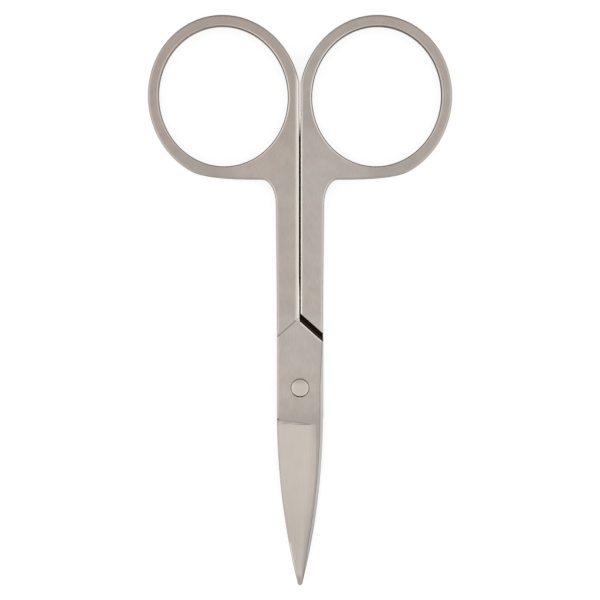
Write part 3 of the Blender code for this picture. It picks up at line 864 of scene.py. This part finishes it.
around = len(sections[0])
wheel_points = [point for section in sections for point in section]
wheel_faces = [tuple(range(around)), tuple(range(len(wheel_points) - around, len(wheel_points)))]
for first in range(0, len(wheel_points) - around, around):
    for index in range(around):
        after = (index + 1) % around
        wheel_faces.append((first + index, first + after, first + around + after, first + around + index))
wheel_mesh = bpy.data.meshes.new("ground_away")
wheel_mesh.from_pydata(wheel_points, [], wheel_faces)
wheel = bpy.data.objects.new("ground_away", wheel_mesh)
bpy.context.scene.collection.objects.link(wheel)
pick_only(wheel)

GROUND_COLOUR = (0.647, 0.580, 0.518)
GROUND_STREAK = (0.618, 0.560, 0.504)
GROUND_TONES = (0.985, 1.015)
GROUND_ROUGHNESS = (0.27, 0.36)
GROUND_NOISE_SPAN = (0.25, 0.75)
GROUND_WORN_SHARE = 0.35
GROUND_RELIEF = 0.0012 * MM
# Painted shade darkens the ground face down the blade, and painted light brightens its very tip
LOW_SHADE = 0.82
LOW_SHADE_ALONG = (-13 * MM, -28 * MM)
TIP_LIGHT = 1.15
TIP_LIGHT_ALONG = (-28.2 * MM, -29.4 * MM)
TONE_BY_LAND = 0.92
BY_LAND_START = 1.1 * MM
BY_LAND_END = 0.1 * MM
BY_LAND_ALONG = (-10 * MM, -7 * MM)

# Painted shade in the crease at the step's foot; a painted highlight on the step's wall, painted shade at
# its top
CREASE_SHADE = 0.5
CREASE_WIDTH = 0.1 * MM
CREASE_FADE = 0.3
CREASE_ABOVE_FOOT = 0.09 * MM
CREASE_ACROSS = (-2.2 * MM, 0.9 * MM)
CREASE_END_START = 0.4 * MM
CREASE_END = 1.2 * MM
WALL_HIGHLIGHT = 1.85
WALL_TOP_SHADE = (0.55, 1.05)
WALL_TOP_ACROSS = (-3.0 * MM, -0.6 * MM)
WALL_TOP_DEPTHS = (0.05 * MM, 0.3 * MM)
WALL_TURN = (0.3, 0.8)

ground_steel, tree, shader, place, facing = steel_material("ground_steel")
grain = set_group(tree, grain_group, {"Strokes": 7000.0, "Stretch": 60.0, "Mottle": 350.0})
worn = set_group(tree, wear_and_shade_group, {"Width": 0.05 * MM})["Mask"]
outer_side = maths(tree, "SIGN", facing["Z"])
own_x = maths(tree, "MULTIPLY", place["X"], outer_side)
foot_end_x = land_x(-STEP_FOOT_INSIDE)
foot_slope = (STEP_FOOT_AT_EDGE - STEP_FOOT_INSIDE) / (foot_end_x - honed_x(-STEP_FOOT_AT_EDGE))
foot = maths(tree, "MULTIPLY", maths(tree, "SUBTRACT", own_x, foot_end_x), foot_slope)
off_foot = maths(tree, "ADD", place["Y"], STEP_FOOT_INSIDE - CREASE_ABOVE_FOOT)
off_foot = maths(tree, "ABSOLUTE", maths(tree, "SUBTRACT", off_foot, foot))
# painted shade along the crease at the step's foot
crease_shade = maths(
    tree,
    "MULTIPLY",
    ramp(tree, off_foot, CREASE_WIDTH, CREASE_FADE * CREASE_WIDTH),
    ramp(tree, own_x, *CREASE_ACROSS),
    ramp(tree, own_x, foot_end_x - CREASE_END_START, foot_end_x - CREASE_END),
)
by_land = ramp(tree, own_x, foot_end_x - BY_LAND_START, foot_end_x - BY_LAND_END)
by_land = maths(tree, "MULTIPLY", by_land, ramp(tree, place["Y"], *BY_LAND_ALONG))
off_middle = maths(tree, "ABSOLUTE", maths(tree, "SUBTRACT", place["Z"], MEETING_LEVEL))
below_top = maths(tree, "SUBTRACT", LAP_HIGH - MEETING_LEVEL, off_middle)
# painted highlight on the step's steep wall, with painted shade along its top edge
steep = ramp(tree, maths(tree, "ABSOLUTE", facing["Y"]), *WALL_TURN)
wall_top_shade_tone = ramp(tree, own_x, *WALL_TOP_ACROSS, *WALL_TOP_SHADE)
wall_light_and_shade = ramp(tree, below_top, *WALL_TOP_DEPTHS, wall_top_shade_tone, WALL_HIGHLIGHT)
wall_light_change = maths(tree, "MULTIPLY", steep, maths(tree, "SUBTRACT", wall_light_and_shade, 1.0))
tone = maths(
    tree,
    "MULTIPLY",
    ramp(tree, place["Y"], *LOW_SHADE_ALONG, 1.0, LOW_SHADE),
    ramp(tree, place["Y"], *TIP_LIGHT_ALONG, 1.0, TIP_LIGHT),
    ramp(tree, grain["Mottle"], *NOISE_SPAN, *GROUND_TONES),
    tone_where(tree, crease_shade, CREASE_SHADE),
    tone_where(tree, by_land, TONE_BY_LAND),
    maths(tree, "ADD", wall_light_change, 1.0),
)
colour = blend_colours(tree, ramp(tree, grain["Stroke"], *NOISE_SPAN), GROUND_COLOUR, GROUND_STREAK)
colour = toned(tree, colour, tone)
colour = blend_colours(tree, maths(tree, "MULTIPLY", worn, GROUND_WORN_SHARE), colour, POLISH_AND_HIGHLIGHT)
rough = ramp(tree, grain["Stroke"], *GROUND_NOISE_SPAN, *GROUND_ROUGHNESS)
set_surface(tree, shader, colour, rough, grain["Stroke"], GROUND_RELIEF)

HONED_COLOUR = (0.78, 0.73, 0.68)
HONED_TONES = (0.93, 1.05)
HONED_ROUGHNESS = (0.2, 0.3)
HONED_RELIEF = 0.0006 * MM

honed_steel, tree, shader = steel_material("honed_steel")[:3]
grain = set_group(tree, grain_group, {"Strokes": 9000.0, "Stretch": 0.1, "Mottle": 600.0})
colour = toned(tree, HONED_COLOUR, ramp(tree, grain["Stroke"], *WIDE_NOISE_SPAN, *HONED_TONES))
rough = ramp(tree, grain["Mottle"], *NOISE_SPAN, *HONED_ROUGHNESS)
set_surface(tree, shader, colour, rough, grain["Stroke"], HONED_RELIEF)
wheel_mesh.materials.append(ground_steel)
wheel_mesh.materials.append(honed_steel)
for face in wheel_mesh.polygons:
    if min(face.vertices) % around == 0 and max(face.vertices) % around == 1:
        face.material_index = 1
bpy.ops.object.mode_set(mode="EDIT")
bpy.ops.mesh.select_all(action="SELECT")
bpy.ops.mesh.remove_doubles(threshold=TOUCHING)
bpy.ops.mesh.quads_convert_to_tris()
bpy.ops.mesh.normals_make_consistent(inside=False)
bpy.ops.object.mode_set(mode="OBJECT")
join_on(front_half, wheel, "DIFFERENCE")


# Bore and countersink of each half.
# Drilled for the rivet and opened to a cone on the outer side, a little wider than the rivet's head.
# The cone's mouth is broken, so that a fine dark ring shows round the head.
RIVET_DIAMETER = 2.0 * MM
RIVET_HEAD_DIAMETER = 2.75 * MM
RIVET_HEAD_DEPTH = 0.5 * MM
RIVET_RIM = 0.06 * MM
BORE_CLEARANCE = 0.05 * MM
MOUTH_CLEARANCE = 0.04 * MM
MOUTH_ROUND = 0.07 * MM

bore_radius = RIVET_DIAMETER / 2 + BORE_CLEARANCE
mouth_radius = RIVET_HEAD_DIAMETER / 2 + MOUTH_CLEARANCE
cone_depth = RIVET_HEAD_DEPTH + RIVET_RIM
broken_radius = mouth_radius + MOUTH_ROUND + BURIED

BORE_DARK = (0.20, 0.165, 0.13)
BORE_STEEL = (0.38, 0.33, 0.28)
BORE_ROUGHNESS = (0.45, 0.65)
BORE_RELIEF = 0.001 * MM

# Painted shade darkens the ring below the head, and painted light lightens it at its left and right.
PAINTED_LIGHT_LEFT = (-0.5 * MM, -1.25 * MM, 1.0, 2.2)
PAINTED_LIGHT_RIGHT = (0.7 * MM, 1.1 * MM, 1.0, 1.5)
PAINTED_SHADE_BELOW = (1.0 * MM, 1.3 * MM, 1.0, 0.45)
BELOW_LEAN = 0.2


def below_pivot(tree, place):
    """How far a place lies below the pivot, towards the tip and a little to the left."""
    return maths(tree, "SUBTRACT", maths(tree, "MULTIPLY", place["X"], -BELOW_LEAN), place["Y"])


bore_steel, tree, shader, place = steel_material("bore_steel")[:4]
grain = set_group(tree, grain_group, {"Strokes": 6000.0, "Stretch": 1.0, "Mottle": 900.0})
colour = blend_colours(tree, ramp(tree, grain["Mottle"], *NOISE_SPAN), BORE_DARK, BORE_STEEL)
# painted light at the left and right of the ring, painted shade below the head
for reach, change in (
    (place["X"], PAINTED_LIGHT_LEFT),
    (place["X"], PAINTED_LIGHT_RIGHT),
    (below_pivot(tree, place), PAINTED_SHADE_BELOW),
):
    colour = toned(tree, colour, ramp(tree, reach, *change))
rough = ramp(tree, grain["Mottle"], *NOISE_SPAN, *BORE_ROUGHNESS)
set_surface(tree, shader, colour, rough, grain["Speck"], BORE_RELIEF)

bpy.ops.object.select_all(action="DESELECT")
bpy.ops.mesh.primitive_circle_add(
    vertices=TURN_STEPS, radius=bore_radius, fill_type="NGON", location=(0, 0, LAP_LOW - BURIED)
)
drill = bpy.context.object
drill.name = "drill"
bpy.ops.object.transform_apply(location=True)
bpy.ops.object.mode_set(mode="EDIT")
bpy.ops.mesh.select_all(action="SELECT")
to_cone = LAP_HIGH - cone_depth - (LAP_LOW - BURIED)
bpy.ops.mesh.extrude_region_move(TRANSFORM_OT_translate={"value": (0, 0, to_cone)})
for rise, widen in (
    (cone_depth - MOUTH_ROUND, mouth_radius / bore_radius),
    (MOUTH_ROUND + BURIED, broken_radius / mouth_radius),
):
    bpy.ops.mesh.extrude_region_move(TRANSFORM_OT_translate={"value": (0, 0, rise)})
    bpy.ops.transform.resize(value=(widen, widen, 1), center_override=(0, 0, 0))
bpy.ops.mesh.select_all(action="SELECT")
bpy.ops.mesh.normals_make_consistent(inside=False)
bpy.ops.object.mode_set(mode="OBJECT")
drill.data.materials.append(bore_steel)
join_on(front_half, drill, "DIFFERENCE")
bpy.ops.object.mode_set(mode="EDIT")
bpy.ops.mesh.select_all(action="SELECT")
bpy.ops.mesh.remove_doubles(threshold=ON_PLANE)
bpy.ops.object.mode_set(mode="OBJECT")


# Rear half.
# The same forging as the front half, turned over about the scissors' long axis and laid behind it.
# It is a shade lighter, and only the very edge of its shank carries a painted highlight along the gap.
REAR_WARM = (0.565, 0.507, 0.455)
REAR_COOL = (0.545, 0.508, 0.466)
REAR_RING_WARM = (0.565, 0.492, 0.440)
GAP_HIGHLIGHT_REAR = 0.5 * MM
GROOVE_REAR = (0.075 * MM, 0.075 * MM)
RIM_SHADE_SHARE_REAR = 0.95
SMOOTH_ANGLE = math.radians(30)

pick_only(front_half)
bpy.ops.object.duplicate(linked=False)
rear_half = bpy.context.object
rear_half.name = "rear_half_steel"
bpy.ops.transform.rotate(
    value=math.pi, orient_axis="Y", orient_type="GLOBAL", center_override=(0, 0, MEETING_LEVEL)
)
bpy.ops.object.transform_apply(location=True, rotation=True, scale=True)
for index, material in enumerate(rear_half.data.materials):
    if material.name == "satin_steel_front":
        rear_half.data.materials[index] = satin_steel(
            "satin_steel_rear",
            -1,
            REAR_WARM,
            REAR_COOL,
            REAR_RING_WARM,
            GAP_HIGHLIGHT_REAR,
            GROOVE_REAR,
            RIM_SHADE_SHARE_REAR,
        )
    if material.name == "inner_face_front":
        rear_half.data.materials[index] = inner_face_steel("inner_face_rear", -1)

for half, body in ((front_half, "front_half"), (rear_half, "rear_half")):
    pick_only(half)
    bpy.ops.object.shade_smooth_by_angle(angle=SMOOTH_ANGLE)
    flats = half.modifiers.new("flat_faces", "WEIGHTED_NORMAL")
    flats.mode = "FACE_AREA"
    flats.weight = 100
    flats.keep_sharp = True
    bpy.ops.object.modifier_apply(modifier=flats.name)
    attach(half, body)
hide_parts("front_blade_half")
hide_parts("rear_blade_half")


# Pivot rivet.
# A short steel rivet through both halves: a low, bright domed head in front, and a tail that is spread
# into the rear countersink and ground flush.
DOME_POWER = 2.7
DOME_STEPS = 14
TAIL_ROUND = 0.04 * MM

rivet_low, rivet_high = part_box("pivot_rivet")
head_radius = rivet_high.x
body_radius = RIVET_DIAMETER / 2
rim_level = LAP_HIGH - RIVET_RIM
dome_height = rivet_high.z - rim_level
profile = [
    (
        head_radius * math.sin(turn) ** (2 / DOME_POWER),
        rim_level + dome_height * max(0.0, math.cos(turn)) ** (2 / DOME_POWER),
    )
    for turn in spread(0, math.pi / 2, DOME_STEPS)
]
profile += [
    (body_radius, rim_level - RIVET_HEAD_DEPTH),
    (body_radius, rivet_low.z + RIVET_HEAD_DEPTH),
    (head_radius, rivet_low.z + TAIL_ROUND),
    (head_radius - TAIL_ROUND, rivet_low.z),
    (0, rivet_low.z),
]
rivet_mesh = bpy.data.meshes.new("rivet_steel")
profile_edges = [(index, index + 1) for index in range(len(profile) - 1)]
rivet_mesh.from_pydata([(x, 0, z) for x, z in profile], profile_edges, [])
rivet = bpy.data.objects.new("rivet_steel", rivet_mesh)
bpy.context.scene.collection.objects.link(rivet)
pick_only(rivet)
bpy.ops.object.mode_set(mode="EDIT")
bpy.ops.mesh.select_all(action="SELECT")
bpy.ops.mesh.spin(steps=TURN_STEPS, angle=math.tau, center=(0, 0, 0), axis=(0, 0, 1))
bpy.ops.mesh.select_all(action="SELECT")
bpy.ops.mesh.remove_doubles(threshold=TOUCHING)
bpy.ops.mesh.normals_make_consistent(inside=False)
bpy.ops.object.mode_set(mode="OBJECT")
bpy.ops.object.shade_smooth_by_angle(angle=SMOOTH_ANGLE)

RIVET_COLOUR = (0.72, 0.645, 0.575)
RIVET_SHADE = (0.68, 0.612, 0.55)
RIVET_ROUGHNESS = (0.22, 0.3)
RIVET_WORN_SHARE = 0.5
RIVET_RELIEF = 0.0001 * MM

# Painted shade darkens the head's far side a little, and a painted shadow lies along its near rim.
FAR_SIDE_SHADE_ON_RIVET = 0.82
FAR_SIDE_SHADE_ALONG = (0.3 * head_radius, 0.75 * head_radius)
RIM_SHADOW_WIDTH = 0.08 * MM
RIM_SHADOW_FADE = 0.5
RIM_SHADOW_SPAN = (1.05 * MM, 1.25 * MM)

rivet_steel, tree, shader, place = steel_material("rivet_steel")[:4]
grain = set_group(tree, grain_group, {"Strokes": 7000.0, "Stretch": 1.0, "Mottle": 800.0})
worn = set_group(tree, wear_and_shade_group, {"Width": 0.06 * MM})["Mask"]
colour = blend_colours(tree, ramp(tree, grain["Mottle"], *PATCH_SPAN), RIVET_COLOUR, RIVET_SHADE)
colour = blend_colours(tree, maths(tree, "MULTIPLY", worn, RIVET_WORN_SHARE), colour, POLISH_AND_HIGHLIGHT)
# painted shade on the head's far side
colour = toned(tree, colour, ramp(tree, place["Y"], *FAR_SIDE_SHADE_ALONG, 1.0, FAR_SIDE_SHADE_ON_RIVET))
# painted shadow: a dark crescent along the head's near rim
reach = reach_of(tree, place["X"], place["Y"])
full_reach = head_radius - RIM_SHADOW_FADE * RIM_SHADOW_WIDTH
rim = ramp(tree, reach, head_radius - RIM_SHADOW_WIDTH, full_reach)
shadow_crescent = maths(tree, "MULTIPLY", rim, ramp(tree, below_pivot(tree, place), *RIM_SHADOW_SPAN))
colour = blend_colours(tree, shadow_crescent, colour, DEEP_SHADE)
rough = ramp(tree, grain["Mottle"], *NOISE_SPAN, *RIVET_ROUGHNESS)
set_surface(tree, shader, colour, rough, grain["Speck"], RIVET_RELIEF)
rivet.data.materials.append(rivet_steel)
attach(rivet, "rear_half")
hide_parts("pivot_rivet")


# Table that the scissors lie on.
# A wide, matt, pale sheet, which reads pure white to the eye and in the metal, with a soft shadow
# close to the steel.
PAPER = (0.93, 0.93, 0.93, 1.0)
TABLE_SIDE = 3.0
TABLE_DROP = 0.1 * MM
CONTACT_REACH = 0.35 * MM
SHADE_REACH = 4.0 * MM
IN_METAL = 0.5
TO_EYE = 1.2
GLOW_SHARE = 0.66

bpy.ops.object.select_all(action="DESELECT")
bpy.ops.mesh.primitive_plane_add(size=TABLE_SIDE, location=(0, 0, -TABLE_DROP))
table = bpy.context.object
table.name = "table"
bpy.ops.object.transform_apply(location=True)
table_white = bpy.data.materials.new("table_white")
table_white.use_nodes = True
tree = table_white.node_tree
tree.nodes.clear()
paper = add_node(tree, "ShaderNodeBsdfDiffuse", {"Color": PAPER})
path = add_node(tree, "ShaderNodeLightPath").outputs
reach = ramp(tree, path["Is Camera Ray"], 0, 1, SHADE_REACH, CONTACT_REACH)
brightness = ramp(tree, path["Is Camera Ray"], 0, 1, IN_METAL, TO_EYE)
near = add_node(tree, "ShaderNodeAmbientOcclusion", {"Distance": reach}, samples=8)
white = add_node(tree, "ShaderNodeEmission", {"Color": near.outputs["Color"], "Strength": brightness})
seen = maths(tree, "MAXIMUM", path["Is Camera Ray"], path["Is Glossy Ray"], path["Is Transmission Ray"])
glow = maths(tree, "MULTIPLY", seen, GLOW_SHARE)
mixed = add_node(tree, "ShaderNodeMixShader", {0: glow, 1: paper.outputs[0], 2: white.outputs[0]})
add_node(tree, "ShaderNodeOutputMaterial", {"Surface": mixed.outputs[0]})
table.data.materials.append(table_white)


# Light and camera.
# A white tent with a soft light behind its left and right walls, and darker low down at its two ends.
# The camera looks straight down on the scissors, as the photographer's did.
OVERHEAD = 0.99
LOWER = 0.75
SIDES = 1.35
ENDS = 0.7
FOOT = 0.45
OVERHEAD_HEIGHTS = (0.9, 0.35)
SIDE_SPAN = (0.05, 0.8)
END_SPAN = (0.55, 0.95)
END_HEIGHTS = (0.5, 0.1)
FOOT_HEIGHTS = (0.35, 0.0)

bpy.context.scene.view_settings.view_transform = "Standard"
tent = bpy.data.worlds.new("tent")
bpy.context.scene.world = tent
tent.use_nodes = True
tree = tent.node_tree
tree.nodes.clear()
towards = add_node(tree, "ShaderNodeTexCoord").outputs["Generated"]
towards = add_node(tree, "ShaderNodeSeparateXYZ", {0: towards}).outputs
overhead = ramp(tree, towards["Z"], *OVERHEAD_HEIGHTS, OVERHEAD, LOWER)
glow = ramp(tree, maths(tree, "ABSOLUTE", towards["X"]), *SIDE_SPAN, overhead, SIDES)
at_end = ramp(tree, maths(tree, "ABSOLUTE", towards["Y"]), *END_SPAN)
at_end = maths(tree, "MULTIPLY", at_end, ramp(tree, towards["Z"], *END_HEIGHTS))
glow = maths(tree, "MULTIPLY", glow, tone_where(tree, at_end, ENDS))
glow = maths(tree, "MULTIPLY", glow, ramp(tree, towards["Z"], *FOOT_HEIGHTS, 1.0, FOOT))
path = add_node(tree, "ShaderNodeLightPath").outputs
tent_light = add_node(tree, "ShaderNodeBackground", {"Strength": glow}).outputs[0]
backdrop = add_node(tree, "ShaderNodeBackground", {"Strength": 1.0}).outputs[0]
mixed = add_node(tree, "ShaderNodeMixShader", {0: path["Is Camera Ray"], 1: tent_light, 2: backdrop})
add_node(tree, "ShaderNodeOutputWorld", {"Surface": mixed.outputs[0]})

SENSOR_WIDTH = 36
FOCAL_LENGTH = 190
CAMERA_PLACE = (0, 13.84 * MM, 501.5 * MM)

camera_data = bpy.data.cameras.new("camera")
camera_data.sensor_width = SENSOR_WIDTH
camera_data.lens = FOCAL_LENGTH
camera = bpy.data.objects.new("camera", camera_data)
camera.location = CAMERA_PLACE
bpy.context.scene.collection.objects.link(camera)
bpy.context.scene.camera = camera
